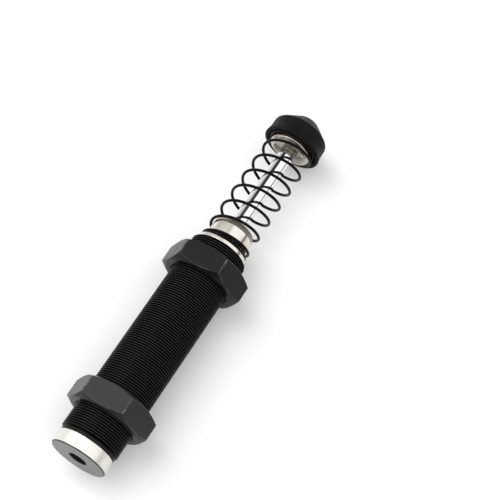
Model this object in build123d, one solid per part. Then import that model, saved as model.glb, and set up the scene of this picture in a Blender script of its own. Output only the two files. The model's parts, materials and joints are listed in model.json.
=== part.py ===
from build123d import *
import math
import os

# Industrial shock absorber with an outside return spring, in millimetres.
# The axis is X, from the rear end face at x = 0 to the bumper, and the flats of both nuts lie level.

# Fits and running gaps
press_gap = 0.02
slide_gap = 0.05
soft_gap = 0.3
stroke_reserve = 1.5

# Stroke and rod
stroke = 60.0
rod_diameter = 10.0
rod_rear_stub_diameter = 6.0
rod_front_stub_diameter = 8.0
rod_front_stub_length = 14.0
rod_edge = 0.6
rod_end_grooves = 3
rod_end_groove_pitch = 1.1
rod_end_groove_width = 0.5
rod_end_groove_depth = 0.35

# Outer tube and its thread, M36 x 1.5
thread_diameter = 36.0
thread_pitch = 1.5
thread_depth_share = 0.613
tube_wall = 3.4
relief_length = 2.4

# Rear plug and filling screw
band_step = 0.75
band_length = 8.3
band_edge = 0.5
plug_spigot_length = 15.7
plug_register_length = 4.0
port_recess_diameter = 11.2
port_recess_depth = 3.0
port_passage_diameter = 4.0
fill_screw_diameter = 10.0
fill_screw_length = 9.0
fill_screw_setback = 0.4
fill_screw_edge = 0.6
fill_socket_width = 5.0
fill_socket_depth = 4.0
fill_seal_thickness = 1.0

# O-rings
cord_diameter = 1.8
cord_squeeze = 0.2
groove_width = 2.4

# Pressure tube with its metering holes
chamber_wall = 2.0
return_gap = 1.6
metering_steps = 7
metering_hole_diameter = 1.5
metering_turn = 90.0
return_hole_diameter = 3.0
return_holes = 4
return_hole_inset = 6.0
return_hole_start_angle = 45.0

# Piston
piston_length = 12.0
piston_front_gap = 3.0
piston_rear_gap = 3.0
check_ring_width = 3.8
check_ring_float = 0.8
check_ring_radial = 2.1
check_ring_split = 0.5
piston_land = 4.0
piston_ports = 6
piston_port_diameter = 1.6
piston_notches = 3
piston_notch_width = 3.0
piston_notch_depth = 0.8
washer_diameter = 16.0
washer_thickness = 1.5
piston_nut_width = 10.0
piston_nut_thickness = 5.0
rod_stub_beyond_nut = 1.0

# Rod guide, bush and accumulator
guide_register_length = 4.0
guide_rear_flange = 2.0
accumulator_length = 11.0
guide_front_flange = 3.5
guide_core_wall = 2.55
bush_wall = 1.4

# Seal carrier and retaining ring
carrier_length = 6.0
rod_seal_length = 4.2
rod_seal_wall = 3.4
rod_passage_gap = 0.4
ring_thickness = 1.4
ring_depth = 0.8
ring_radial = 2.0
ring_opening = 50.0
ring_lug_length = 3.6
ring_lug_angle = 16.0
ring_hole_diameter = 1.6

# Stop collar, the lower seat of the spring
collar_spigot_length = 5.7
collar_spigot_gap = 0.5
collar_flange_margin = 1.0
collar_flange_thickness = 2.5
collar_flange_edge = 0.4
sleeve_spring_gap = 0.7
sleeve_length = 12.3
nose_length = 4.0
nose_step = 0.7
nose_edge = 0.8
wiper_wall = 3.0
wiper_length = 3.6
wiper_lip = 0.8

# Return spring
spring_diameter = 31.0
wire_diameter = 1.8
spring_pitch = 12.2
rear_closed_turns = 1.0
rear_opening_turns = 0.5
front_closed_turns = 1.0
front_opening_turns = 0.5
turn_spacing_gap = 0.05
spring_seat_gap = 0.02
spring_start_angle = 7.4
points_per_turn = 12

# Rod button, the upper seat of the spring
button_nose_step = 2.8
button_nose_length = 2.2
button_nose_edge = 0.6
button_spring_gap = 0.2
button_shoulder_length = 5.77
button_shoulder_edge = 0.3
button_flange_gap = 0.2
button_flange_length = 2.5
button_stub_diameter = 22.0
button_stub_cover = 4.0
snap_groove_inset = 3.0
snap_groove_width = 2.2
snap_groove_depth = 1.0

# Bumper cap
cap_lip_wall = 3.0
cap_lip_cover = 3.51
cap_mouth_gap = 0.3
cap_mouth_edge = 1.0
cap_neck_length = 4.2
cap_body_step = 0.85
cap_body_length = 6.5
cap_cone_length = 9.75
cap_face_diameter = 13.8
cap_edge = 0.9
cap_lip_edge = 0.4

# Lock nuts
nut_wall = 5.0
nut_thickness = 15.0
nut_face_step = 1.0
nut_chamfer_angle = 30.0
nut_bore_edge = 0.9
rear_nut_inset = 15.0
front_nut_inset = 8.5


def turned(*outline):
    # A solid turned about X from its outline of (x, radius) points
    return revolve(make_face(Polyline(*outline, close=True)), Axis.X)


def ring(start, end, inner, outer):
    # A plain ring between two stations along X
    return turned((start, inner), (end, inner), (end, outer), (start, outer))


def rod(start, end, radius):
    # A plain round bar between two stations along X
    return ring(start, end, 0, radius)


def hexagon(start, end, width):
    # A hexagon bar with two flats level
    outline = RegularPolygon(width / 2, 6, major_radius=False)
    return extrude(Plane.YZ.offset(start) * outline, end - start)


def round_edges(solid, station, radius, size):
    # Rounds the circular edge at one station whose radius is given
    near = 1e-4
    chosen = [
        edge
        for edge in solid.edges().filter_by(GeomType.CIRCLE)
        if abs(edge.center().X - station) < near and abs(edge.radius - radius) < near
    ]
    return fillet(chosen, size)


# Radii that several pieces share
thread_radius = thread_diameter / 2
thread_depth = thread_depth_share * thread_pitch
root_radius = thread_radius - thread_depth
bore_radius = thread_radius - tube_wall
band_radius = thread_radius - band_step
chamber_outer = bore_radius - return_gap
chamber_radius = chamber_outer - chamber_wall
rod_radius = rod_diameter / 2
groove_floor = bore_radius - cord_diameter + cord_squeeze
passage_radius = rod_radius + rod_passage_gap
bush_outer = rod_radius + slide_gap + bush_wall
guide_core_radius = bush_outer + guide_core_wall
check_ring_outer = chamber_radius - slide_gap
check_ring_inner = check_ring_outer - check_ring_radial
spring_outer = spring_diameter / 2
spring_inner = spring_outer - wire_diameter
spring_middle = spring_outer - wire_diameter / 2
close_pitch = wire_diameter + turn_spacing_gap
flange_radius = spring_outer + collar_flange_margin
sleeve_radius = spring_inner - sleeve_spring_gap
mouth_radius = spring_outer + cap_mouth_gap
cap_lip_radius = mouth_radius + cap_lip_wall
nut_width = thread_diameter + 2 * nut_wall

# Stations along X, each from the one before
relief_start = band_length
thread_start = relief_start + relief_length
chamber_rear = band_length + plug_spigot_length
register_front = chamber_rear + plug_register_length
stack_length = washer_thickness + piston_nut_thickness + rod_stub_beyond_nut
stub_rear = register_front + piston_rear_gap + stroke
piston_rear = stub_rear + stack_length
piston_front = piston_rear + piston_length
guide_rear = piston_front + piston_front_gap
chamber_front = guide_rear + guide_register_length
foam_rear = chamber_front + guide_rear_flange
foam_front = foam_rear + accumulator_length
guide_front = foam_front + guide_front_flange
carrier_front = guide_front + carrier_length
ring_front = carrier_front + ring_thickness
collar_rear = ring_front + slide_gap * 2 + collar_spigot_gap
tube_front = collar_rear + collar_spigot_length
seat_rear = tube_front + collar_flange_thickness
sleeve_front = seat_rear + sleeve_length
nose_front = sleeve_front + nose_length
button_rear = nose_front + stroke + stroke_reserve
shoulder_rear = button_rear + button_nose_length
seat_front = shoulder_rear + button_shoulder_length
stub_start = seat_front + button_flange_length
stub_end = button_rear + rod_front_stub_length + button_stub_cover
cap_rear = seat_front - cap_lip_cover
cap_body_start = cap_rear + cap_neck_length
cap_cone_start = cap_body_start + cap_body_length
cap_front = cap_cone_start + cap_cone_length


def o_ring(centre):
    # A round cord lying in its groove against the tube's bore
    squeezed = (bore_radius - groove_floor) / 2
    middle = (bore_radius + groove_floor) / 2
    section = Plane.XY * Pos(centre, middle) * Circle(squeezed - press_gap)
    return revolve(section, Axis.X)


def make_outer_tube():
    blank = turned(
        (relief_start, bore_radius),
        (tube_front, bore_radius),
        (tube_front, root_radius),
        (tube_front - thread_depth, thread_radius),
        (thread_start + thread_depth, thread_radius),
        (thread_start, root_radius),
        (relief_start, root_radius),
    )
    groove = ring(
        carrier_front, ring_front + slide_gap * 2, bore_radius - ring_depth, bore_radius + ring_depth
    )
    return blank - groove


def make_rear_plug():
    spigot = bore_radius - press_gap
    register = chamber_radius - press_gap
    seat = port_recess_depth + fill_screw_setback + fill_screw_length + fill_seal_thickness
    blank = turned(
        (0, 0),
        (0, band_radius - band_edge),
        (band_edge, band_radius),
        (band_length, band_radius),
        (band_length, spigot),
        (chamber_rear, spigot),
        (chamber_rear, register),
        (register_front, register),
        (register_front, 0),
    )
    groove_middle = (band_length + chamber_rear) / 2
    groove = ring(
        groove_middle - groove_width / 2, groove_middle + groove_width / 2, groove_floor, bore_radius
    )
    recess = rod(0, port_recess_depth, port_recess_diameter / 2)
    thread_hole = rod(port_recess_depth, seat, fill_screw_diameter / 2 + press_gap)
    passage = rod(seat, register_front, port_passage_diameter / 2)
    return blank - groove - recess - thread_hole - passage


def make_fill_screw():
    start = port_recess_depth + fill_screw_setback
    radius = fill_screw_diameter / 2
    edge = fill_screw_edge
    body = turned(
        (start, 0),
        (start, radius - edge),
        (start + edge, radius),
        (start + fill_screw_length - edge, radius),
        (start + fill_screw_length, radius - edge),
        (start + fill_screw_length, 0),
    )
    return body - hexagon(start, start + fill_socket_depth, fill_socket_width)


def make_fill_seal():
    start = port_recess_depth + fill_screw_setback + fill_screw_length
    return ring(
        start, start + fill_seal_thickness, port_passage_diameter / 2, fill_screw_diameter / 2
    )


def make_pressure_tube():
    tube = ring(chamber_rear, chamber_front, chamber_radius, chamber_outer)
    # Each metering hole closes when the piston has used up its share of the braking distance
    for step in range(1, metering_steps):
        left = 1 - step / metering_steps
        station = piston_rear - stroke * (1 - left**2)
        drill = Pos(station, 0, chamber_radius) * Cylinder(
            metering_hole_diameter / 2, 2 * chamber_radius
        )
        tube -= Rot(metering_turn * step, 0, 0) * drill
    station = chamber_front - return_hole_inset
    for step in range(return_holes):
        drill = Pos(station, 0, chamber_radius) * Cylinder(
            return_hole_diameter / 2, 2 * chamber_radius
        )
        angle = return_hole_start_angle + step * 360 / return_holes
        tube -= Rot(angle, 0, 0) * drill
    return tube


def make_rod_guide():
    register = chamber_radius - press_gap
    rim = bore_radius - press_gap
    return turned(
        (guide_rear, bush_outer),
        (guide_front, bush_outer),
        (guide_front, rim),
        (foam_front, rim),
        (foam_front, guide_core_radius),
        (foam_rear, guide_core_radius),
        (foam_rear, chamber_outer),
        (chamber_front, chamber_outer),
        (chamber_front, register),
        (guide_rear, register),
    )


def make_guide_bush():
    return ring(guide_rear, guide_front, rod_radius + slide_gap, bush_outer - press_gap)


def make_accumulator_foam():
    inner = guide_core_radius + soft_gap
    return ring(foam_rear + soft_gap, foam_front - soft_gap, inner, bore_radius - soft_gap)


def make_seal_carrier():
    pocket = rod_radius + slide_gap + rod_seal_wall
    rim = bore_radius - press_gap
    blank = turned(
        (guide_front, pocket),
        (guide_front + rod_seal_length, pocket),
        (guide_front + rod_seal_length, passage_radius),
        (carrier_front, passage_radius),
        (carrier_front, rim),
        (guide_front, rim),
    )
    middle = (guide_front + carrier_front) / 2
    groove = ring(middle - groove_width / 2, middle + groove_width / 2, groove_floor, bore_radius)
    return blank - groove


def make_rod_seal():
    # A U-cup whose lips open towards the oil
    inner = rod_radius + slide_gap
    outer = inner + rod_seal_wall - press_gap
    middle = (inner + outer) / 2
    lip = rod_seal_wall / 4
    return turned(
        (guide_front, inner),
        (guide_front + rod_seal_length, inner),
        (guide_front + rod_seal_length, outer),
        (guide_front, outer),
        (guide_front, outer - lip),
        (guide_front + rod_seal_length / 2, middle),
        (guide_front, inner + lip),
    )


def make_retaining_ring():
    # A sprung ring in the tube's groove, with a gap at the bottom and two eyes for pliers
    outer = bore_radius + ring_depth - slide_gap
    inner = outer - ring_radial
    eye = inner - ring_lug_length
    start = carrier_front + slide_gap
    end = start + ring_thickness
    band = ring(start, end, inner, outer)
    gap_side = ring_opening / 2
    reach = outer * 2
    gap = Polyline(
        (0, 0),
        (-reach * math.tan(math.radians(gap_side)), -reach),
        (reach * math.tan(math.radians(gap_side)), -reach),
        close=True,
    )
    band -= extrude(Plane.YZ.offset(start) * make_face(gap), ring_thickness)
    for side in (-1, 1):
        lug = ring(start, end, eye, (inner + outer) / 2)
        keep_from = gap_side
        keep_to = gap_side + ring_lug_angle
        wedge = Polyline(
            (0, 0),
            (side * reach * math.tan(math.radians(keep_from)), -reach),
            (side * reach * math.tan(math.radians(keep_to)), -reach),
            close=True,
        )
        lug &= extrude(Plane.YZ.offset(start) * make_face(wedge), ring_thickness)
        middle = math.radians((keep_from + keep_to) / 2)
        eye_radius = (eye + inner) / 2
        hole = Plane.YZ.offset(start) * Pos(
            side * eye_radius * math.sin(middle), -eye_radius * math.cos(middle)
        )
        lug -= extrude(hole * Circle(ring_hole_diameter / 2), ring_thickness)
        band += lug
    return band


def make_stop_collar():
    pocket = rod_radius + slide_gap + wiper_wall
    spigot = bore_radius - press_gap
    nose = sleeve_radius - nose_step
    return turned(
        (collar_rear, passage_radius),
        (nose_front - wiper_length, passage_radius),
        (nose_front - wiper_length, pocket),
        (nose_front, pocket),
        (nose_front, nose - nose_edge),
        (nose_front - nose_edge, nose),
        (sleeve_front, sleeve_radius),
        (seat_rear, sleeve_radius),
        (seat_rear, flange_radius - collar_flange_edge),
        (seat_rear - collar_flange_edge, flange_radius),
        (tube_front, flange_radius),
        (tube_front, spigot),
        (collar_rear, spigot),
    )


def make_rod_wiper():
    # A scraper ring with its lip towards the button
    inner = rod_radius + slide_gap
    outer = inner + wiper_wall - press_gap
    start = nose_front - wiper_length
    return turned(
        (start, inner + wiper_lip),
        (nose_front - wiper_lip, inner + wiper_lip),
        (nose_front, inner),
        (nose_front, inner + wiper_lip),
        (nose_front - wiper_lip, outer - wiper_lip),
        (nose_front - wiper_lip, outer),
        (start, outer),
    )


def make_lock_nut(start):
    end = start + nut_thickness
    corner = nut_width / math.sqrt(3)
    face = nut_width / 2 - nut_face_step
    bore = thread_radius + slide_gap
    slope = (corner - face) * math.tan(math.radians(nut_chamfer_angle))
    envelope = turned(
        (start, bore + nut_bore_edge),
        (start + nut_bore_edge, bore),
        (end - nut_bore_edge, bore),
        (end, bore + nut_bore_edge),
        (end, face),
        (end - slope, corner),
        (start + slope, corner),
        (start, face),
    )
    return hexagon(start, end, nut_width) & envelope


def make_piston_rod():
    # Its front shoulder stands on the button's face, behind a few fine grooves
    rear_stub = rod_rear_stub_diameter / 2
    front_stub = rod_front_stub_diameter / 2
    stub_front = button_rear + rod_front_stub_length
    body = turned(
        (stub_rear, 0),
        (stub_rear, rear_stub - rod_edge),
        (stub_rear + rod_edge, rear_stub),
        (piston_front, rear_stub),
        (piston_front, rod_radius),
        (button_rear, rod_radius),
        (button_rear, front_stub),
        (stub_front - rod_edge, front_stub),
        (stub_front, front_stub - rod_edge),
        (stub_front, 0),
    )
    floor = rod_radius - rod_end_groove_depth
    for step in range(rod_end_grooves):
        start = button_rear - (step + 1) * rod_end_groove_pitch
        body -= ring(start, start + rod_end_groove_width, floor, 2 * rod_radius)
    return body


def make_piston():
    # Ports in the front land, which the check ring covers, and notches that lead oil under the ring
    bore = rod_rear_stub_diameter / 2 + press_gap
    floor = check_ring_inner - slide_gap * 2
    groove_start = piston_rear + piston_land
    groove_end = groove_start + check_ring_width + check_ring_float + slide_gap
    body = ring(piston_rear, piston_front, bore, check_ring_outer)
    body -= ring(groove_start, groove_end, floor, chamber_radius)
    port_radius = (check_ring_inner + check_ring_outer) / 2
    port_place = Plane.YZ.offset(groove_end) * Pos(0, port_radius)
    port = extrude(port_place * Circle(piston_port_diameter / 2), piston_front - groove_end)
    for step in range(piston_ports):
        body -= Rot(step * 360 / piston_ports, 0, 0) * port
    notch_floor = check_ring_inner - piston_notch_depth
    notch_place = Plane.YZ.offset(piston_rear) * Pos(0, (notch_floor + chamber_radius) / 2)
    notch_section = notch_place * Rectangle(piston_notch_width, chamber_radius - notch_floor)
    notch = extrude(notch_section, groove_end - piston_rear)
    for step in range(piston_notches):
        body -= Rot(step * 360 / piston_notches, 0, 0) * notch
    return body


def make_check_ring():
    # A split ring that floats along its groove and closes it on the working stroke
    start = piston_rear + piston_land + slide_gap / 2
    band = ring(start, start + check_ring_width, check_ring_inner, check_ring_outer)
    middle = start + check_ring_width / 2
    split = Box(check_ring_width, check_ring_split, 3 * check_ring_radial)
    return band - Pos(middle, 0, check_ring_outer) * split


def make_piston_washer():
    bore = rod_rear_stub_diameter / 2 + press_gap
    return ring(piston_rear - washer_thickness, piston_rear, bore, washer_diameter / 2)


def make_piston_nut():
    end = piston_rear - washer_thickness
    start = end - piston_nut_thickness
    blank = hexagon(start, end, piston_nut_width)
    return blank - rod(start, end, rod_rear_stub_diameter / 2 + press_gap)


def make_rod_button():
    # A nose on the rod's end, a shoulder that centres the spring, its seat, and the stub inside the cap
    shoulder = spring_inner - button_spring_gap
    nose = shoulder - button_nose_step
    flange = mouth_radius - button_flange_gap
    stub = button_stub_diameter / 2
    blank = turned(
        (button_rear, 0),
        (button_rear, nose - button_nose_edge),
        (button_rear + button_nose_edge, nose),
        (shoulder_rear, nose),
        (shoulder_rear, shoulder - button_shoulder_edge),
        (shoulder_rear + button_shoulder_edge, shoulder),
        (seat_front, shoulder),
        (seat_front, flange),
        (stub_start, flange),
        (stub_start, stub),
        (stub_end, stub),
        (stub_end, 0),
    )
    snap_start = stub_start + snap_groove_inset
    blank -= ring(snap_start, snap_start + snap_groove_width, stub - snap_groove_depth, stub)
    hole_end = button_rear + rod_front_stub_length + slide_gap
    hole = rod(button_rear, hole_end, rod_front_stub_diameter / 2 + press_gap)
    return blank - hole


def make_bumper_cap():
    body = cap_lip_radius - cap_body_step
    face = cap_face_diameter / 2
    socket = button_stub_diameter / 2 + press_gap
    snap_start = stub_start + snap_groove_inset + slide_gap
    snap_end = snap_start + snap_groove_width - slide_gap * 2
    bead = socket - snap_groove_depth + slide_gap
    cap = turned(
        (cap_rear + cap_mouth_edge, mouth_radius),
        (cap_rear, mouth_radius + cap_mouth_edge),
        (cap_rear, cap_lip_radius),
        (cap_body_start, body),
        (cap_cone_start, body),
        (cap_front, face),
        (cap_front, 0),
        (stub_end + press_gap, 0),
        (stub_end + press_gap, socket),
        (snap_end, socket),
        (snap_end, bead),
        (snap_start, bead),
        (snap_start, socket),
        (stub_start + press_gap, socket),
        (stub_start + press_gap, mouth_radius),
    )
    cap = round_edges(cap, cap_rear, cap_lip_radius, cap_lip_edge)
    cap = round_edges(cap, cap_cone_start, body, cap_edge)
    return round_edges(cap, cap_front, face, cap_edge)


def spring_station(turn, turns, low, high):
    # How far along X the wire's centre lies after so many turns: closed, opening, then even pitch
    if turn > turns / 2:
        return high - spring_run(turns - turn, front_closed_turns, front_opening_turns)
    return low + spring_run(turn, rear_closed_turns, rear_opening_turns)


def spring_run(turn, closed_turns, opening_turns):
    # The rise over one end of the spring, counted from that end
    opening = min(max(turn - closed_turns, 0), opening_turns)
    even = max(turn - closed_turns - opening_turns, 0)
    growth = (spring_pitch - close_pitch) * opening**2 / (2 * opening_turns)
    return close_pitch * (turn - even) + growth + spring_pitch * even


def make_return_spring():
    # A right-hand compression spring between the collar's flange and the button's flange
    low = seat_rear + wire_diameter / 2 + spring_seat_gap
    high = seat_front - wire_diameter / 2 - spring_seat_gap
    rear_turns = rear_closed_turns + rear_opening_turns
    front_turns = front_closed_turns + front_opening_turns
    rear_run = spring_run(rear_turns, rear_closed_turns, rear_opening_turns)
    front_run = spring_run(front_turns, front_closed_turns, front_opening_turns)
    even_turns = (high - low - rear_run - front_run) / spring_pitch
    turns = rear_turns + even_turns + front_turns
    count = math.ceil(turns * points_per_turn)
    points = []
    for step in range(count + 1):
        turn = turns * step / count
        angle = math.radians(spring_start_angle) + 2 * math.pi * turn
        station = spring_station(turn, turns, low, high)
        points.append((station, spring_middle * math.cos(angle), spring_middle * math.sin(angle)))
    path = Spline(*points)
    section = Plane(origin=path @ 0, z_dir=path % 0) * Circle(wire_diameter / 2)
    return sweep(section, path=path, is_frenet=True)


nodes = {
    "outer_tube": make_outer_tube(),
    "rear_plug": make_rear_plug(),
    "rear_o_ring": o_ring((band_length + chamber_rear) / 2),
    "fill_screw": make_fill_screw(),
    "fill_seal": make_fill_seal(),
    "pressure_tube": make_pressure_tube(),
    "rod_guide": make_rod_guide(),
    "guide_bush": make_guide_bush(),
    "accumulator_foam": make_accumulator_foam(),
    "seal_carrier": make_seal_carrier(),
    "carrier_o_ring": o_ring((guide_front + carrier_front) / 2),
    "rod_seal": make_rod_seal(),
    "retaining_ring": make_retaining_ring(),
    "stop_collar": make_stop_collar(),
    "rod_wiper": make_rod_wiper(),
    "rear_nut": make_lock_nut(thread_start + rear_nut_inset),
    "front_nut": make_lock_nut(tube_front - front_nut_inset - nut_thickness),
    "piston_rod": make_piston_rod(),
    "piston": make_piston(),
    "check_ring": make_check_ring(),
    "piston_washer": make_piston_washer(),
    "piston_nut": make_piston_nut(),
    "rod_button": make_rod_button(),
    "bumper_cap": make_bumper_cap(),
    "return_spring": make_return_spring(),
}

os.makedirs("parts", exist_ok=True)
for name, solid in nodes.items():
    export_step(solid, f"parts/{name}.step")
    print(name, round(solid.volume, 1), solid.bounding_box())
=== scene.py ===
import json
import math

import bmesh
import bpy
import numpy as np
from mathutils import Matrix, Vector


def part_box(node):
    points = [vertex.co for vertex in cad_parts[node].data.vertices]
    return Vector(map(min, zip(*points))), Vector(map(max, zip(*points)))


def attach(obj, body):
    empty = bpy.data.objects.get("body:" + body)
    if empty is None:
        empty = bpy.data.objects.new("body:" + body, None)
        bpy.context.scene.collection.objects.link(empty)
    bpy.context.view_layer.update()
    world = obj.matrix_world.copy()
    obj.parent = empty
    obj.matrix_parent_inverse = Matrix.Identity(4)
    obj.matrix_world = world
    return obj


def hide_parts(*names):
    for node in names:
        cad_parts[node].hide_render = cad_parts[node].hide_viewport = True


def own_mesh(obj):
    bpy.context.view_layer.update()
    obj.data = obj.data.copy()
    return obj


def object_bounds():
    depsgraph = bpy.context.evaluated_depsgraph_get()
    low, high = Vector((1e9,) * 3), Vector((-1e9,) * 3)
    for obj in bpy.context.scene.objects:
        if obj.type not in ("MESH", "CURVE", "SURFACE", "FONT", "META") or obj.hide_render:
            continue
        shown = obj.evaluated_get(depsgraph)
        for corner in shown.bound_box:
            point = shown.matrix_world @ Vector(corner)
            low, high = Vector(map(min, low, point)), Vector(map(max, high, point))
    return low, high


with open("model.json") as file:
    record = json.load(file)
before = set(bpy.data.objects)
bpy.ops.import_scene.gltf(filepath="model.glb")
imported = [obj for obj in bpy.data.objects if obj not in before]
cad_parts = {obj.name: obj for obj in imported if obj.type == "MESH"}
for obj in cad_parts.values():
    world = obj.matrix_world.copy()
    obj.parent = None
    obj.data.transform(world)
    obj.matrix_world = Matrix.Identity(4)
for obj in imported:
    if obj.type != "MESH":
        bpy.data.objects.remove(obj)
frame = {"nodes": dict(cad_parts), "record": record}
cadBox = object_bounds()
mm = 0.001
nodes = frame["nodes"]

print("stage: tools for meshes")

mergeDistance = 2e-7  # in metres, as a mesh is
shortestEdge = 1e-7


def span(node):
    # First and last station along X and the outer radius of a CAD node, in mm
    low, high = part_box(node)
    return low.x / mm, high.x / mm, high.y / mm


def meshObject(name, points, faces, sharpAngle=35):
    # Points in mm and faces as index lists become one object with merged doubles and outward faces
    mesh = bpy.data.meshes.new(name)
    mesh.from_pydata((np.asarray(points, float) * mm).tolist(), [], faces)
    work = bmesh.new()
    work.from_mesh(mesh)
    bmesh.ops.remove_doubles(work, verts=work.verts, dist=mergeDistance)
    bmesh.ops.dissolve_degenerate(work, edges=work.edges, dist=shortestEdge)
    bmesh.ops.recalc_face_normals(work, faces=work.faces)
    work.to_mesh(mesh)
    work.free()
    mesh.shade_smooth()
    mesh.set_sharp_from_angle(angle=math.radians(sharpAngle))
    piece = bpy.data.objects.new(name, mesh)
    bpy.context.scene.collection.objects.link(piece)
    return piece


def gridFaces(rows, columns, wrapRows, wrapColumns, skip=0):
    # Quads of a grid whose point (row, column) has the index row * columns + column. Where the columns
    # wrap, the last one joins the first one of the row that lies skip rows further on.
    row, column = np.meshgrid(np.arange(rows if wrapRows else rows - 1),
                              np.arange(columns if wrapColumns else columns - 1), indexing="ij")
    nextRow = (row + 1) % rows
    nextColumn = (column + 1) % columns
    jump = np.where(column + 1 >= columns, skip, 0)
    inside = (nextRow + jump < rows) if skip else np.ones_like(row, bool)
    far = np.minimum(row + jump, rows - 1)
    farNext = np.minimum(nextRow + jump, rows - 1)
    quads = np.stack([row * columns + column, far * columns + nextColumn,
                      farNext * columns + nextColumn, nextRow * columns + column], axis=-1)
    return quads[inside].reshape(-1, 4).tolist()


def roundedOutline(corners, steps=5, support=0.12, reach=0.48):
    # An outline of (station, radius, rounding) corners. A rounded corner gives way to the parabola that
    # leaves one side a rounding before the corner and meets the other side as far behind it. A support
    # point beyond each end, at most the reach's share of the side away, keeps the flats flat in the shading.
    places = np.array([corner[:2] for corner in corners], float)
    outline = []
    for index, (station, radius, rounding) in enumerate(corners):
        here = places[index]
        if rounding == 0:
            outline.append(here[None])
            continue
        back = places[index - 1] - here
        ahead = places[(index + 1) % len(corners)] - here
        backLength, aheadLength = np.hypot(*back), np.hypot(*ahead)
        back, ahead = back / backLength, ahead / aheadLength
        share = np.linspace(0, 1, steps + 1)[:, None]
        arc = here + back * rounding * (1 - share) ** 2 + ahead * rounding * share ** 2
        before = here + back * min(rounding + support, backLength * reach)
        after = here + ahead * min(rounding + support, aheadLength * reach)
        outline.append(np.vstack([before[None], arc, after[None]]))
    return np.vstack(outline)


def turned(outline, angle):
    # A surface of revolution about X: the point (x, r cos a, r sin a) for each outline point and angle a
    x = np.repeat(outline[:, :1], len(angle), axis=1)
    radius = outline[:, 1:]
    return np.stack([x, radius * np.cos(angle), radius * np.sin(angle)], axis=-1).reshape(-1, 3)


def turnedPiece(name, corners, segments=160, closed=False):
    # The surface of revolution of a rounded outline, which is open at the axis or closed round a bore
    outline = roundedOutline(corners)
    angle = np.linspace(0, 2 * np.pi, segments, endpoint=False)
    return meshObject(name, turned(outline, angle), gridFaces(len(outline), segments, closed, True))


def settle(piece, body, slot, material, *replaced):
    # Gives a finished piece its material and its body and hides the CAD nodes it stands for; the slot is not
    # used
    piece.data.materials.clear()
    piece.data.materials.append(material)
    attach(piece, body)
    if replaced:
        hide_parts(*replaced)
    return piece


print("stage: tools for materials")


class Sock:
    # One output socket of a node tree. Its operators add Math nodes, and node() adds any other kind.
    def __init__(self, tree, socket=None):
        self.tree = tree
        self.socket = socket

    def node(self, kind, settings=None, values=None, out=0):
        made = self.tree.nodes.new("ShaderNode" + kind)
        for key, value in (settings or {}).items():
            setattr(made, key, value)
        for key, value in (values or {}).items():
            if isinstance(value, Sock):
                self.tree.links.new(value.socket, made.inputs[key])
            else:
                made.inputs[key].default_value = value
        return Sock(self.tree, made.outputs[out])

    def beside(self, out):
        # Another output of the same node
        return Sock(self.tree, self.socket.node.outputs[out])

    def maths(self, operation, *terms):
        return self.node("Math", {"operation": operation}, dict(enumerate(terms)))

    def __add__(self, other):
        return self.maths("ADD", self, other)

    def __radd__(self, other):
        return self.maths("ADD", other, self)

    def __sub__(self, other):
        return self.maths("SUBTRACT", self, other)

    def __rsub__(self, other):
        return self.maths("SUBTRACT", other, self)

    def __mul__(self, other):
        return self.maths("MULTIPLY", self, other)

    def __rmul__(self, other):
        return self.maths("MULTIPLY", other, self)

    def __pow__(self, other):
        return self.maths("POWER", self, other)

    def step(self, low, high):
        # 0 below low, 1 above high and a smooth rise between them
        return self.node("MapRange", {"interpolation_type": "SMOOTHSTEP"},
                         {"Value": self, "From Min": low, "From Max": high})

    def mix(self, first, second):
        # The colour first where this is 0 and second where it is 1
        return self.node("Mix", {"data_type": "RGBA"}, {"Factor": self, "A": first, "B": second}, out=2)

    def split(self):
        # The x, y and z of a vector
        x = self.node("SeparateXYZ", values={"Vector": self})
        return x, x.beside("Y"), x.beside("Z")


def grey(value, warm=0.0):
    # A near-neutral colour; warm moves it from blue towards red
    return (value * (1 + warm), value, value * (1 - warm), 1)


def newMaterial(name, fixed):
    # A Principled material with its fixed values on the sockets, and three sockets in mm: the object's
    # place, its station along X and its distance from the axis
    material = bpy.data.materials.new(name)
    material.use_nodes = True
    tree = material.node_tree
    shader = tree.nodes["Principled BSDF"]
    for key, value in fixed.items():
        shader.inputs[key].default_value = value
    metres = Sock(tree).node("TexCoord", out="Object")
    place = metres.node("VectorMath", {"operation": "SCALE"}, {"Vector": metres, "Scale": 1 / mm})
    x, y, z = place.split()
    radius = (y * y + z * z) ** 0.5
    return material, place, x, radius


def drive(material, **links):
    # Links what changes over the surface to the shader's own sockets
    tree = material.node_tree
    shader = tree.nodes["Principled BSDF"]
    for key, value in links.items():
        tree.links.new(value.socket, shader.inputs[key.replace("_", " ")])
    return material


def noise(place, scale, detail=3.0, roughness=0.55):
    return place.node("TexNoise", {"noise_dimensions": "3D"},
                      {"Vector": place, "Scale": scale, "Detail": detail, "Roughness": roughness})


def turningMarks(x, radius, lines):
    # Concentric tool marks: noise that changes along the axis and the radius, and not round the axis
    marks = x.node("CombineXYZ", values={"X": x * lines, "Y": radius * lines})
    return noise(marks, 1.0, 3.0, 0.7)


def bump(height, distance, strength):
    return height.node("Bump", values={"Height": height, "Distance": distance, "Strength": strength})


print("stage: materials")

# In every look the scales of noise (grain, marks, tint and such) are per mm, radii and stations are in mm,
# a bump is in metres, and shine is the specular level

threadLook = {
    "base": 0.0004, "crest": 0.044, "crestStart": 17.78, "crestEnd": 17.98,
    "smooth": 0.016, "smoothEnd": 10.5, "roughness": 0.28, "shine": 0.03,
    "grain": 0.6, "fine": 6.0, "bump": 0.00001,
}


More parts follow.
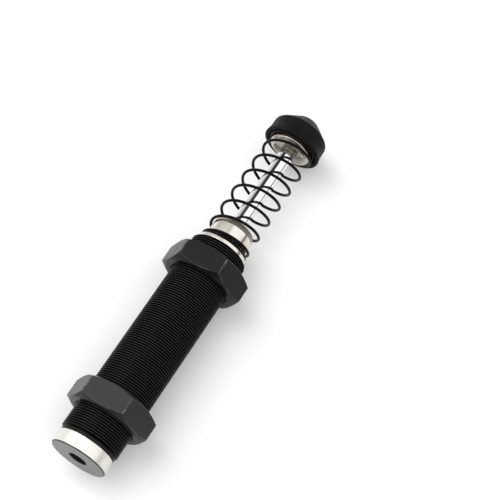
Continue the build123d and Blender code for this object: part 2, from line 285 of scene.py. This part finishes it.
def makeThreadBlack():
    # Dark blued steel. The crests are lighter and smoother than the roots, partly as rubbed wear and partly
    # as a painted highlight along the crest lines. The smooth relief behind the thread is lighter too.
    look = threadLook
    material, place, x, radius = newMaterial("blackThread", {"Specular IOR Level": look["shine"]})
    grain = noise(place, look["grain"])
    fine = noise(place, look["fine"], 2.0)
    # The crest band: rubbed wear and a painted highlight along the crests
    wornAndHighlit = radius.step(look["crestStart"], look["crestEnd"])
    onRelief = 1 - x.step(look["smoothEnd"] - 0.3, look["smoothEnd"])
    ground = onRelief.mix(grey(look["base"]), grey(look["smooth"], 0.05))
    colour = (wornAndHighlit * (grain * 0.6 + 0.5)).mix(ground, grey(look["crest"]))
    roughness = look["roughness"] + (grain - 0.5) * 0.2 - wornAndHighlit * 0.04
    return drive(material, Base_Color=colour, Roughness=roughness, Normal=bump(fine, look["bump"], 0.3))


# The front and rear bases are one black oxide in a shaded and a lit copy: the rear nut is painted lighter and
# the front nut darker, as painted light and shade
nutLook = {
    "frontBaseShaded": 0.006, "rearBaseLit": 0.020, "wornAndHighlit": 0.13, "roughness": 0.30, "shine": 0.15,
    "clouds": 0.09, "patches": 0.22, "grain": 3.5, "bump": 0.00002,
}


def makeNutBlack(name, base):
    # Black-oxide steel with faint clouds, a fine grain and, in patches, the lighter edges that the edge
    # attribute gives: partly rubbed wear and partly a painted highlight along the edges
    look = nutLook
    material, place, *_ = newMaterial(name, {"Specular IOR Level": look["shine"]})
    clouds = noise(place, look["clouds"], 4.0)
    grain = noise(place, look["grain"], 2.0)
    patches = noise(place, look["patches"], 2.0).step(0.38, 0.62) * 0.8 + 0.15
    edge = place.node("Attribute", {"attribute_name": "edge"}, out="Fac")
    dull = clouds.step(0.35, 0.7).mix(grey(base, 0.02), grey(base * 1.3, 0.04))
    # Lighter edges: partly rubbed wear, partly a painted highlight
    colour = (edge * patches * (grain * 0.6 + 0.6)).mix(dull, grey(look["wornAndHighlit"]))
    roughness = look["roughness"] + (clouds - 0.5) * 0.12 + (grain - 0.5) * 0.08
    return drive(material, Base_Color=colour, Roughness=roughness, Normal=bump(grain, look["bump"], 0.35))


wireLook = {"base": 0.001, "roughness": 0.26, "shine": 0.10, "peel": 1.4, "bump": 0.00003}


def makeWireBlack():
    # Coated spring wire: near black, half gloss, with a faint orange-peel surface
    look = wireLook
    material, place, *_ = newMaterial("blackWire", {"Specular IOR Level": look["shine"]})
    peel = noise(place, look["peel"], 2.0)
    colour = peel.step(0.3, 0.7).mix(grey(look["base"] * 0.8), grey(look["base"] * 1.5))
    roughness = look["roughness"] + (peel - 0.5) * 0.16
    return drive(material, Base_Color=colour, Roughness=roughness, Normal=bump(peel, look["bump"], 0.25))


nickelLook = {
    "base": (0.70, 0.665, 0.61, 1), "dark": (0.56, 0.51, 0.445, 1), "nose": (0.45, 0.395, 0.35, 1),
    "line": (0.05, 0.042, 0.035, 1), "lineStart": 162.5, "lineEnd": 163.0, "noseEnd": 167.0,
    "roughness": 0.21, "noseDull": 0.2, "marks": 3.2, "tint": 0.07, "bump": 0.000002,
}


def makeNickel():
    # Bright turned nickel, warm, with fine tool marks and a slight brown tint in patches. The collar's nose
    # is duller, and painted browner and darker as a painted reflection; the turned line behind it is painted
    # dark as painted shade in the groove.
    look = nickelLook
    material, place, x, radius = newMaterial("brightNickel", {"Metallic": 1.0})
    marks = turningMarks(x, radius, look["marks"])
    tint = noise(place, look["tint"], 2.0).step(0.42, 0.72)
    onNose = x.step(look["lineStart"], look["lineStart"] + 0.1) * (
        1 - x.step(look["noseEnd"], look["noseEnd"] + 0.2))
    onLine = onNose * (1 - x.step(look["lineEnd"] - 0.05, look["lineEnd"] + 0.05))
    plain = tint.mix(look["base"], look["dark"])
    # Painted reflection on the nose and painted shade in the turned line
    colour = onLine.mix(onNose.mix(plain, look["nose"]), look["line"])
    roughness = look["roughness"] + (marks - 0.5) * 0.08 + onNose * look["noseDull"]
    return drive(material, Base_Color=colour, Roughness=roughness, Normal=bump(marks, look["bump"], 0.3))


buttonLook = {
    "face": (0.43, 0.40, 0.36, 1), "dark": (0.19, 0.17, 0.145, 1), "shoulder": (0.60, 0.565, 0.51, 1),
    "shoulderStart": 230.1, "roughness": 0.19, "rings": 1.4, "marks": 5.0, "tint": 0.22, "bump": 0.000003,
}


def makeButtonNickel():
    # The button: polished nickel that mirrors the rod. The shoulder is painted lighter and the face darker,
    # as painted light and shade, and the face has more painted shade in rings and patches
    look = buttonLook
    material, place, x, radius = newMaterial("buttonNickel", {"Metallic": 1.0})
    rings = turningMarks(x, radius, look["rings"]).step(0.45, 0.75)
    marks = turningMarks(x, radius, look["marks"])
    tint = noise(place, look["tint"], 2.0).step(0.40, 0.70)
    onShoulder = x.step(look["shoulderStart"], look["shoulderStart"] + 0.1)
    # Painted shade: the face darkens in rings and patches
    face = (tint * 0.5 + rings * 0.5).mix(look["face"], look["dark"])
    # Painted light: the shoulder is a lighter copy of the same nickel
    colour = onShoulder.mix(face, look["shoulder"])
    roughness = look["roughness"] + (marks - 0.5) * 0.08
    return drive(material, Base_Color=colour, Roughness=roughness, Normal=bump(marks, look["bump"], 0.4))


plugLook = {
    "band": (0.77, 0.745, 0.70, 1), "face": (0.19, 0.19, 0.19), "faceDepth": 0.03,
    "rim": (0.03, 0.03, 0.03, 1), "rimDepth": 0.62, "rimRadius": 16.55,
    "hole": (0.02, 0.02, 0.02, 1), "holeStart": 5.64, "holeEnd": 5.76,
    "metal": 0.75, "roughness": 0.36, "marks": 2.6, "pits": 1.3, "bump": 0.00006,
}


def makePlugNickel():
    # The rear plug: a white-bright band, a greyer fine-turned end face, a painted dark reflection on the
    # chamfered rim, and painted shade in the hole
    look = plugLook
    material, place, x, radius = newMaterial("plugNickel", {})
    marks = turningMarks(x, radius, look["marks"])
    pits = noise(place, look["pits"], 4.0, 0.8)
    onFace = 1 - x.step(look["faceDepth"], look["faceDepth"] * 2)
    inHole = 1 - radius.step(look["holeStart"], look["holeEnd"])
    onRim = radius.step(look["rimRadius"], look["rimRadius"] + 0.1) * (
        1 - x.step(look["rimDepth"], look["rimDepth"] + 0.05))
    shade = (marks - 0.5) * 0.9 + (pits - 0.5) * 0.9 + 1
    face = shade.node("VectorMath", {"operation": "SCALE"}, {"Vector": look["face"], "Scale": shade})
    # Painted dark reflection on the rim's chamfer and painted shade in the hole
    colour = inHole.mix(onRim.mix(onFace.mix(look["band"], face), look["rim"]), look["hole"])
    metal = (1 - onFace * 0.45) * (1 - onRim * 0.6) * (1 - inHole * 0.5) * look["metal"]
    roughness = look["roughness"] + (marks - 0.5) * 0.1 + onFace * 0.06
    return drive(material, Base_Color=colour, Roughness=roughness, Metallic=metal,
                 Normal=bump(marks, look["bump"], 0.5))


chromeLook = {
    "base": (0.80, 0.80, 0.815, 1), "end": (0.46, 0.43, 0.385, 1), "endStart": 224.4,
    "groove": (0.03, 0.028, 0.024, 1), "grooveRadius": 4.93, "roughness": 0.08,
    "lines": (9.0, 0.2, 0.2), "bump": 0.000002,
}


def makeHardChrome():
    # Ground hard chrome: a clear mirror with the faintest grinding lines round it, and a duller end whose
    # grooves are painted dark as painted shade
    look = chromeLook
    material, place, x, radius = newMaterial("hardChrome", {"Metallic": 1.0})
    stretched = place.node("VectorMath", {"operation": "MULTIPLY"}, {0: place, 1: look["lines"]})
    lines = noise(stretched, 1.0, 2.0)
    atEnd = x.step(look["endStart"], look["endStart"] + 0.2)
    land = radius.step(look["grooveRadius"] - 0.06, look["grooveRadius"])
    # Painted shade in the grooves of the end
    colour = atEnd.mix(look["base"], land.mix(look["groove"], look["end"]))
    roughness = look["roughness"] + (lines - 0.5) * 0.05 + atEnd * 0.1
    return drive(material, Base_Color=colour, Roughness=roughness, Normal=bump(lines, look["bump"], 0.3))


bumperLook = {
    "base": 0.004, "light": 0.007, "roughness": 0.52, "shine": 0.10, "clouds": 0.12, "grain": 4.0,
    "bump": 0.00004,
}


def makeBumperBlack():
    # Matte black elastomer plastic with a fine moulded grain
    look = bumperLook
    material, place, *_ = newMaterial("bumperBlack", {"Specular IOR Level": look["shine"]})
    grain = noise(place, look["grain"])
    clouds = noise(place, look["clouds"])
    colour = clouds.step(0.3, 0.75).mix(grey(look["base"]), grey(look["light"]))
    roughness = look["roughness"] + (clouds - 0.5) * 0.12 + (grain - 0.5) * 0.1
    return drive(material, Base_Color=colour, Roughness=roughness, Normal=bump(grain, look["bump"], 0.3))


def makePlain(name, colour, metallic, roughness, grainScale):
    # A finish for the pieces inside: a colour with fine clouds of the same tone
    material, place, *_ = newMaterial(name, {"Metallic": metallic})
    grain = noise(place, grainScale)
    darker = tuple(0.7 * part for part in colour)
    mixed = grain.step(0.35, 0.7).mix((*colour, 1), (*darker, 1))
    return drive(material, Base_Color=mixed, Roughness=roughness + (grain - 0.5) * 0.15)


finishes = {
    "black_thread": makeThreadBlack(),
    "black_nut": makeNutBlack("frontNutBlack", nutLook["frontBaseShaded"]),
    "spring_wire": makeWireBlack(),
    "nickel": makeNickel(),
    "hard_chrome": makeHardChrome(),
    "bumper": makeBumperBlack(),
    "dark_steel": makePlain("darkSteel", (0.016, 0.014, 0.013), 0.2, 0.36, 1.2),
    "inner_steel": makePlain("innerSteel", (0.55, 0.55, 0.56), 1.0, 0.30, 0.8),
    "bearing_bronze": makePlain("bearingBronze", (0.62, 0.44, 0.20), 1.0, 0.28, 0.9),
    "seal_rubber": makePlain("sealRubber", (0.02, 0.02, 0.02), 0.0, 0.55, 2.0),
    "foam": makePlain("foam", (0.06, 0.06, 0.065), 0.0, 0.8, 3.0),
}

print("stage: carried-over nodes")

for entry in frame["record"]["subparts"]:
    kept = nodes[entry["node"]]
    kept.data.materials.clear()
    kept.data.materials.append(finishes[entry["material_slot"]])

print("stage: outer tube and its thread")

tubeSizes = {
    "pitch": 1.5,        # M36 x 1.5
    "depth": 0.92,
    "relief": 2.4,       # smooth length behind the thread
    "wall": 3.4,
    "boreEdge": 0.4,
    "crestShare": 0.20,  # of the pitch, flat
    "rootShare": 0.22,
    "segments": 128,
}


def makeThreadedTube():
    # The thread's surface: radius = root plus depth times the trapezium wave of (x - pitch * a / 2 pi), on
    # a grid whose rows follow the helix, and cut at both ends by 45 degree cones. A turned shell closes it.
    size = tubeSizes
    start, end, crest = span("outer_tube")
    root, bore = crest - size["depth"], crest - size["wall"]
    first = start + size["relief"]
    flank = (1 - size["crestShare"] - size["rootShare"]) / 2
    shares = np.array([0, size["rootShare"], size["rootShare"] + flank * 0.5, size["rootShare"] + flank,
                       1 - flank, 1 - flank * 0.5])
    heights = np.array([0, 0, 0.5, 1, 1, 0.5])
    turns = int(np.ceil((end - first) / size["pitch"])) + 1
    rowShare = (np.arange(-1, turns)[:, None] + shares).ravel()
    rowRadius = np.tile(root + (crest - root) * heights, turns + 1)
    turn = np.arange(size["segments"]) / size["segments"]
    angle = 2 * np.pi * turn
    x = np.clip(first + size["pitch"] * (rowShare[:, None] + turn), first, end)
    cones = root + np.minimum(x - first, end - x)
    radius = np.minimum(rowRadius[:, None] + 0 * x, np.maximum(cones, root))
    thread = np.stack([x, radius * np.cos(angle), radius * np.sin(angle)], axis=-1).reshape(-1, 3)
    threadFaces = gridFaces(len(rowShare), size["segments"], False, True, skip=len(shares))
    outline = np.array([(end, root), (end, bore + size["boreEdge"]), (end - size["boreEdge"], bore),
                        (start, bore), (start, root), (first, root)])
    shellFaces = np.array(gridFaces(len(outline), size["segments"], False, True)) + len(thread)
    points = np.vstack([thread, turned(outline, angle)])
    return meshObject("threadedTube", points, threadFaces + shellFaces.tolist(), 40)


settle(makeThreadedTube(), "casing", "black_thread", finishes["black_thread"], "outer_tube")

print("stage: lock nuts")

nutSizes = {
    "width": 46.0,
    "faceStep": 1.0,       # from the flats in to the round face
    "chamferTan": math.tan(math.radians(30)),
    "sink": 0.9,           # countersink of the bore
    "bore": 18.05,
    "cornerPower": 90,     # higher is a sharper corner
    "edge": 0.22,          # rounding where the chamfer meets the flats
    # width of the lighter band at the corners, rubbed wear and painted highlight
    "wornAndHighlitWidth": 0.16,     # of the corners between the flats
    "segments": 432,
    "crowding": 0.86,      # how far the grid's angles crowd to the corners
}


def makeLockNut(name, node):
    # The hexagon's radius is half its width over the power mean of the cosines to its six flats. The
    # chamfer runs from the round face to that radius at 30 degrees, for each angle by itself.
    size = nutSizes
    start, end, _ = span(node)
    even = np.linspace(0, 2 * np.pi, size["segments"], endpoint=False)
    angle = even + size["crowding"] * np.sin(6 * even) / 6
    flats = np.arange(6)[:, None] * np.pi / 3
    cosines = np.maximum(np.cos(angle - flats), 0)
    mean = (cosines ** size["cornerPower"]).sum(axis=0) ** (1 / size["cornerPower"])
    outer = size["width"] / 2 / mean
    face = size["width"] / 2 - size["faceStep"]
    bore, sink, edge = size["bore"], size["sink"], size["edge"]
    middle = (end - start) / 2
    reach = outer - face
    rim = size["chamferTan"] * reach

    # Rings of (depth, radius, wear) from the bore's middle round the face to the middle of the flats, where
    # wear is rubbed wear and a painted edge highlight; the nut's other half mirrors them
    rings = [(middle, bore, 0), (sink, bore, 0), (0, bore + sink, 0.3), (0, bore + sink + 0.15, 0),
             (0, face - 0.25, 0), (0.02, face - 0.02, 0.7)]
    rings += [(rim * share, face + reach * share, 0) for share in (0.06, 0.35, 0.65)]
    rings += [(rim - edge * 0.6, outer - edge, 0.1), (rim - edge * 0.22, outer - edge * 0.38, 0.8),
              (rim + edge * 0.25, outer - edge * 0.08, 0.8), (rim + edge * 0.8, outer, 0),
              (rim + edge * 2.2, outer, 0), (middle, outer, 0)]
    depth, radius, wearAndHighlight = (np.array([ring[part] + 0 * angle for ring in rings]) for part in range(3))
    x = np.vstack([start + depth, (end - depth)[-2:0:-1]])
    radius = np.vstack([radius, radius[-2:0:-1]])
    wearAndHighlight = np.vstack([wearAndHighlight, wearAndHighlight[-2:0:-1]])
    # The corners between the flats are lighter: partly rubbed wear, partly a painted highlight
    corner = np.exp(-((outer.max() - outer) / size["wornAndHighlitWidth"]) ** 2)
    wearAndHighlight = np.maximum(wearAndHighlight, (radius > outer - 0.02) * corner)
    points = np.stack([x, radius * np.sin(angle), radius * np.cos(angle)], axis=-1).reshape(-1, 3)
    nut = meshObject(name, points, gridFaces(len(x), size["segments"], True, True), 30)
    attribute = nut.data.attributes.new("edge", "FLOAT", "POINT")
    attribute.data.foreach_set("value", wearAndHighlight.ravel().astype(np.float32))
    return nut


# The rear nut's own copy of the nut material, painted lighter as painted light
rearNutBlack = makeNutBlack("rearNutBlack", nutLook["rearBaseLit"])
settle(makeLockNut("rearLockNut", "rear_nut"), "rear_nut", "black_nut", rearNutBlack, "rear_nut")
settle(makeLockNut("frontLockNut", "front_nut"), "front_nut", "black_nut", finishes["black_nut"], "front_nut")

print("stage: rear plug")

plugSizes = {
    "edge": 0.5, "band": 8.3, "holeRadius": 5.6, "holeDepth": 3.0, "holeEdge": 0.25,
    "screwHoleRadius": 5.02, "screwHoleDepth": 13.4, "spigot": 14.55, "spigotStep": 3.6,
}


def makePlug():
    # Outline: the hole of the filling screw, end face, chamfered rim, band, shoulder and spigot
    size = plugSizes
    start, end, outer = span("rear_plug")
    return turnedPiece("rearPlugBand", [
        (start + size["screwHoleDepth"], 0, 0),
        (start + size["screwHoleDepth"], size["screwHoleRadius"], 0),
        (start + size["holeDepth"], size["screwHoleRadius"], 0),
        (start + size["holeDepth"], size["holeRadius"], 0.1),
        (start, size["holeRadius"], size["holeEdge"]),
        (start, outer - size["edge"], 0.08),
        (start + size["edge"], outer, 0.08),
        (size["band"], outer, 0.2),
        (size["band"], size["spigot"], 0),
        (end, size["spigot"] - size["spigotStep"], 0),
        (end, 0, 0),
    ])


settle(makePlug(), "casing", "nickel", makePlugNickel(), "rear_plug")

print("stage: stop collar")

collarSizes = {
    "flangeThickness": 2.5, "flangeEdge": 0.35, "sleeveLength": 12.3, "sleeveRadius": 13.0,
    "noseLength": 4.0, "noseRadius": 12.3, "noseEdge": 0.7, "lineDepth": 0.25, "lineWidth": 0.5,
    "wiperRadius": 8.05, "wiperLength": 3.6, "passageRadius": 5.4, "spigotRadius": 14.55,
}


def makeCollar():
    # Outline: the rod's passage, the wiper's bore, the tapered nose, a thin turned line, sleeve and flange
    size = collarSizes
    start, end, flange = span("stop_collar")
    rear = end - size["noseLength"] - size["sleeveLength"] - size["flangeThickness"]
    seat = rear + size["flangeThickness"]
    line = seat + size["sleeveLength"]
    sleeve = size["sleeveRadius"]
    return turnedPiece("stopCollarBody", [
        (start, size["passageRadius"], 0),
        (end - size["wiperLength"], size["passageRadius"], 0),
        (end - size["wiperLength"], size["wiperRadius"], 0),
        (end, size["wiperRadius"], 0.15),
        (end, size["noseRadius"] - size["noseEdge"], 0.2),
        (end - size["noseEdge"], size["noseRadius"], 0.25),
        (line + size["lineWidth"], sleeve - 0.05, 0.05),
        (line + size["lineWidth"] * 0.7, sleeve - size["lineDepth"], 0),
        (line + size["lineWidth"] * 0.3, sleeve - size["lineDepth"], 0),
        (line, sleeve, 0.1),
        (seat, sleeve, 0.3),
        (seat, flange, size["flangeEdge"]),
        (rear, flange, size["flangeEdge"]),
        (rear, size["spigotRadius"], 0),
        (start, size["spigotRadius"], 0),
    ], closed=True)


settle(makeCollar(), "casing", "nickel", finishes["nickel"], "stop_collar")

print("stage: piston rod")

rodSizes = {
    "stub": 3.0, "stubEnd": 110.5, "frontStub": 4.0, "edge": 0.5, "grooves": 3, "groovePitch": 1.1,
    "grooveWidth": 0.5, "grooveDepth": 0.35, "grooveEdge": 0.07,
}


def makeRod():
    # Outline: rear stub, the chromed shank with its fine grooves, and the front stub inside the button
    size = rodSizes
    start, end, outer = span("piston_rod")
    shoulder = span("rod_button")[0]
    floor, edge = outer - size["grooveDepth"], size["grooveEdge"]
    grooves = []
    for step in range(size["grooves"], 0, -1):
        rear = shoulder - step * size["groovePitch"]
        front = rear + size["grooveWidth"]
        grooves += [(rear, outer, edge), (rear + edge, floor, edge),
                    (front - edge, floor, edge), (front, outer, edge)]
    return turnedPiece("chromedRod", [
        (start, 0, 0),
        (start, size["stub"], size["edge"]),
        (size["stubEnd"], size["stub"], 0),
        (size["stubEnd"], outer, 0.2),
        *grooves,
        (shoulder, outer, 0.05),
        (shoulder, size["frontStub"], 0),
        (end, size["frontStub"], size["edge"]),
        (end, 0, 0),
    ], segments=128)


settle(makeRod(), "rod", "hard_chrome", finishes["hard_chrome"], "piston_rod")

print("stage: rod button")

buttonSizes = {
    "noseRadius": 10.7, "noseLength": 2.2, "noseEdge": 0.6, "shoulderRadius": 13.5, "shoulderLength": 5.77,
    "shoulderEdge": 0.3, "flangeRadius": 15.55, "flangeLength": 2.5, "stubRadius": 10.9,
}


def makeButton():
    # Outline: the face, the nose, the shoulder inside the spring, the spring's seat and the stub in the cap
    size = buttonSizes
    start, end, _ = span("rod_button")
    shoulder = start + size["noseLength"]
    seat = shoulder + size["shoulderLength"]
    stub = seat + size["flangeLength"]
    return turnedPiece("turnedButton", [
        (start, 0, 0),
        (start, size["noseRadius"] - size["noseEdge"], 0.2),
        (start + size["noseEdge"], size["noseRadius"], 0.2),
        (shoulder, size["noseRadius"], 0.1),
        (shoulder, size["shoulderRadius"], size["shoulderEdge"]),
        (seat, size["shoulderRadius"], 0.1),
        (seat, size["flangeRadius"], 0.2),
        (stub, size["flangeRadius"], 0.2),
        (stub, size["stubRadius"], 0),
        (end, size["stubRadius"], 0),
        (end, 0, 0),
    ])


settle(makeButton(), "rod", "nickel", makeButtonNickel(), "rod_button")

print("stage: bumper cap")

capSizes = {
    "lipRadius": 18.8, "lipEdge": 0.45, "mouthRadius": 15.8, "mouthDepth": 6.03, "mouthChamfer": 1.0,
    "mouthEdge": 0.2, "neckLength": 4.2, "neckEdge": 1.2, "bodyRadius": 17.95, "bodyLength": 6.5,
    "coneEdge": 1.3, "faceRadius": 6.9, "faceEdge": 1.2, "frontWall": 6.9, "socketRadius": 11.0,
}


def makeCap():
    # Outline: mouth, lip, the neck that narrows to the body, the cone and the flat striking face
    size = capSizes
    start, end, _ = span("bumper_cap")
    body = start + size["neckLength"]
    cone = body + size["bodyLength"]
    floor = start + size["mouthDepth"]
    return turnedPiece("bumperCapShell", [
        (floor, size["socketRadius"], 0),
        (floor, size["mouthRadius"], 0.5),
        (start + size["mouthChamfer"], size["mouthRadius"], size["mouthEdge"]),
        (start, size["mouthRadius"] + size["mouthChamfer"], size["mouthEdge"]),
        (start, size["lipRadius"], size["lipEdge"]),
        (body, size["bodyRadius"], size["neckEdge"]),
        (cone, size["bodyRadius"], size["coneEdge"]),
        (end, size["faceRadius"], size["faceEdge"]),
        (end, 0, 0),
        (end - size["frontWall"], 0, 0),
        (end - size["frontWall"], size["socketRadius"], 0),
    ], closed=True)


settle(makeCap(), "rod", "bumper", finishes["bumper"], "bumper_cap")

print("stage: return spring")

springSizes = {
    "outer": 31.0, "wire": 1.8, "pitch": 12.2, "turnGap": 0.05, "startAngle": 7.4, "seat": 150.2,
    "rearClosed": 1.0, "rearOpening": 0.5, "frontClosed": 1.0, "frontOpening": 0.5,
    "perTurn": 96, "around": 20,
}


def springRise(turn, closed, opening):
    # The rise over one end of the spring: even at the closed pitch, then a parabola that opens to the
    # full pitch, then even again
    closePitch = springSizes["wire"] + springSizes["turnGap"]
    pitch = springSizes["pitch"]
    part = np.clip(turn - closed, 0, opening)
    even = np.maximum(turn - closed - opening, 0)
    return closePitch * (turn - even) + (pitch - closePitch) * part ** 2 / (2 * opening) + pitch * even


def makeSpring():
    # A circle of the wire's radius carried along a helix whose rise comes from both ends:
    # point = centre + w (cos b * outward + sin b * sideways) with sideways = along x outward
    size = springSizes
    start, end, _ = span("return_spring")
    wireRadius = size["wire"] / 2
    low, high = start + wireRadius, end - wireRadius
    rear = (size["rearClosed"], size["rearOpening"])
    front = (size["frontClosed"], size["frontOpening"])
    ends = springRise(sum(rear), *rear) + springRise(sum(front), *front)
    turns = sum(rear) + sum(front) + (high - low - ends) / size["pitch"]
    turn = np.linspace(0, turns, int(round(turns * size["perTurn"])) + 1)
    fromLow = low + springRise(turn, *rear)
    fromHigh = high - springRise(turns - turn, *front)
    angle = math.radians(size["startAngle"]) + 2 * np.pi * turn
    outward = np.stack([0 * angle, np.cos(angle), np.sin(angle)], axis=-1)
    centre = outward * (size["outer"] - size["wire"]) / 2
    centre[:, 0] = np.where(turn > turns / 2, fromHigh, fromLow)
    along = np.gradient(centre, axis=0)
    along /= np.linalg.norm(along, axis=1)[:, None]
    sideways = np.cross(along, outward)
    sideways /= np.linalg.norm(sideways, axis=1)[:, None]
    circle = np.linspace(0, 2 * np.pi, size["around"], endpoint=False)[None, :, None]
    wire = centre[:, None] + wireRadius * (
        np.cos(circle) * outward[:, None] + np.sin(circle) * sideways[:, None])
    caps = np.repeat(centre[[0, -1]][:, None], size["around"], axis=1)
    rings = np.concatenate([caps[:1], wire, caps[1:]])
    faces = gridFaces(len(rings), size["around"], False, True)
    return meshObject("coilSpring", rings.reshape(-1, 3), faces, 50)


coilSpring = settle(makeSpring(), "casing", "spring_wire", finishes["spring_wire"], "return_spring")
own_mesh(coilSpring)

print("stage: floor")

floorLook = {
    "size": 0.90, "middle": (0.18, 0.10), "colour": (0.86, 0.86, 0.865, 1), "roughness": 0.9,
    "seen": (0.08, 0.08, 0.08, 1),  # what the camera, mirrors and clear pieces see on top of its colour
}


def makeFloor():
    # A square plane under the nuts' lower flats. It looks a little brighter than it lights the part, so
    # that its ground is white and only the shadow on it shows.
    look = floorLook
    low = cadBox[0][2]
    half = look["size"] / 2
    x, y = look["middle"]
    mesh = bpy.data.meshes.new("floor")
    mesh.from_pydata([(x - half, y - half, low), (x + half, y - half, low),
                      (x + half, y + half, low), (x - half, y + half, low)], [], [(0, 1, 2, 3)])
    floor = bpy.data.objects.new("floor", mesh)
    bpy.context.scene.collection.objects.link(floor)
    material, place, *_ = newMaterial("paleFloor", {
        "Base Color": look["colour"], "Roughness": look["roughness"], "Specular IOR Level": 0.0,
        "Emission Strength": 1.0,
    })
    camera = place.node("LightPath", out="Is Camera Ray")
    seen = camera + camera.beside("Is Glossy Ray") + camera.beside("Is Transmission Ray")
    drive(material, Emission_Color=seen.mix((0, 0, 0, 1), look["seen"]))
    mesh.materials.append(material)


makeFloor()

print("stage: studio light")

# A pair is where a rise or a fall begins and ends. A lean is in degrees from straight up, round the part's
# axis, to the left above 0 and to the right below 0. An along is the share of the direction that points
# along the axis, to the bumper above 0.
room = {
    "strength": 0.87, "ground": 0.05,
    "softBox": 1.55, "softBoxLean": (-84, -74), "overheadLean": (-4, 5),
    "softBoxFall": 0.75, "softBoxAlong": (0.48, 0.66),
    "wall": 1.0, "wallLean": (38, 58), "wallFall": 0.15, "wallAlong": (0.28, 0.40),
    "edge": 0.2, "edgeLean": (-92, -84),
    "panel": 4.6, "panelAlong": (-0.1, 0.1), "panelEnd": (0.24, 0.34),
    "ahead": 1.3, "aheadAlong": (0.1, 0.3), "aheadEnd": (0.365, 0.405),
    "behind": 0.6,
    "dimFall": 0.55, "dimAlong": (-0.9, -0.45),
}


def makeWorld():
    # The studio as a function of direction: a soft box over the right side and a wall on the left. In the
    # gap overhead between them hang a small bright panel, a softer stretch ahead of it and a dim one behind
    # it, and further ahead it is dark. The whole room is darker far behind. The camera sees plain white.
    world = bpy.data.worlds.new("studio")
    bpy.context.scene.world = world
    world.use_nodes = True
    tree = world.node_tree
    tree.nodes.clear()
    direction = Sock(tree).node("TexCoord", out="Generated")
    along, y, z = direction.split()
    lean = y.maths("ARCTAN2", y, z) * (180 / math.pi)
    onWall = lean.step(*room["wallLean"])
    fromOverhead = lean.step(*room["overheadLean"])
    pastPanel = along.step(*room["panelAlong"])
    softBox = lean.step(*room["softBoxLean"]) * (1 - fromOverhead) * (
        1 - along.step(*room["softBoxAlong"]) * room["softBoxFall"])
    wall = onWall * (1 - along.step(*room["wallAlong"]) * room["wallFall"])
    edge = 1 - lean.step(*room["edgeLean"])
    gap = fromOverhead * (1 - onWall)
    panel = gap * pastPanel * (1 - along.step(*room["panelEnd"]))
    ahead = gap * along.step(*room["aheadAlong"]) * (1 - along.step(*room["aheadEnd"]))
    behind = gap * (1 - pastPanel)
    level = (softBox * room["softBox"] + wall * room["wall"] + edge * room["edge"] + panel * room["panel"]
             + ahead * room["ahead"] + behind * room["behind"] + room["ground"])
    dim = 1 - (1 - along.step(*room["dimAlong"])) * room["dimFall"]
    light = level.node("Background", values={
        "Color": (1, 1, 1, 1), "Strength": level * dim * room["strength"]})
    white = level.node("Background", values={"Color": (1, 1, 1, 1), "Strength": 1.0})
    seen = level.node("LightPath", out="Is Camera Ray")
    both = level.node("MixShader", values={0: seen, 1: light, 2: white})
    output = tree.nodes.new("ShaderNodeOutputWorld")
    tree.links.new(both.socket, output.inputs["Surface"])


makeWorld()

keyLamp = {"place": (0.05, 0.80, 1.10), "size": 1.2, "power": 5.0}


def makeKeyLamp():
    # One large area lamp from the left, aimed at the middle of the part
    data = bpy.data.lights.new("keyLamp", "AREA")
    data.shape = "SQUARE"
    data.size = keyLamp["size"]
    data.energy = keyLamp["power"]
    lamp = bpy.data.objects.new("keyLamp", data)
    bpy.context.scene.collection.objects.link(lamp)
    middle = [(cadBox[0][axis] + cadBox[1][axis]) / 2 for axis in range(3)]
    offset = np.array(keyLamp["place"]) - middle
    lamp.location = keyLamp["place"]
    lamp.rotation_euler = (math.atan2(np.hypot(offset[0], offset[1]), offset[2]), 0,
                           math.atan2(offset[0], -offset[1]))


makeKeyLamp()

print("stage: camera")

# Found by fitting a pinhole camera to the photo's outlines; the axes are in the part's frame
photoCamera = {
    "place": (-0.181058, -0.221562, 0.743093),
    "right": (0.512877, -0.858450, -0.004623),
    "down": (-0.757878, -0.450249, -0.472120),
    "forward": (0.403210, 0.245643, -0.881522),
    "lens": 103.42,
    "sensor": 36.0,
}


def makeCamera():
    # The camera looks along its own -Z with +Y up, so down and forward enter its matrix with their signs
    # turned
    data = bpy.data.cameras.new("photoCamera")
    data.sensor_width = photoCamera["sensor"]
    data.lens = photoCamera["lens"]
    data.clip_start = 0.01
    camera = bpy.data.objects.new("photoCamera", data)
    bpy.context.scene.collection.objects.link(camera)
    matrix = np.eye(4)
    matrix[:3, 0] = photoCamera["right"]
    matrix[:3, 1] = -np.array(photoCamera["down"])
    matrix[:3, 2] = -np.array(photoCamera["forward"])
    matrix[:3, 3] = photoCamera["place"]
    camera.matrix_world = Matrix(matrix.tolist())
    bpy.context.scene.camera = camera


makeCamera()
bpy.context.scene.view_settings.view_transform = "Standard"
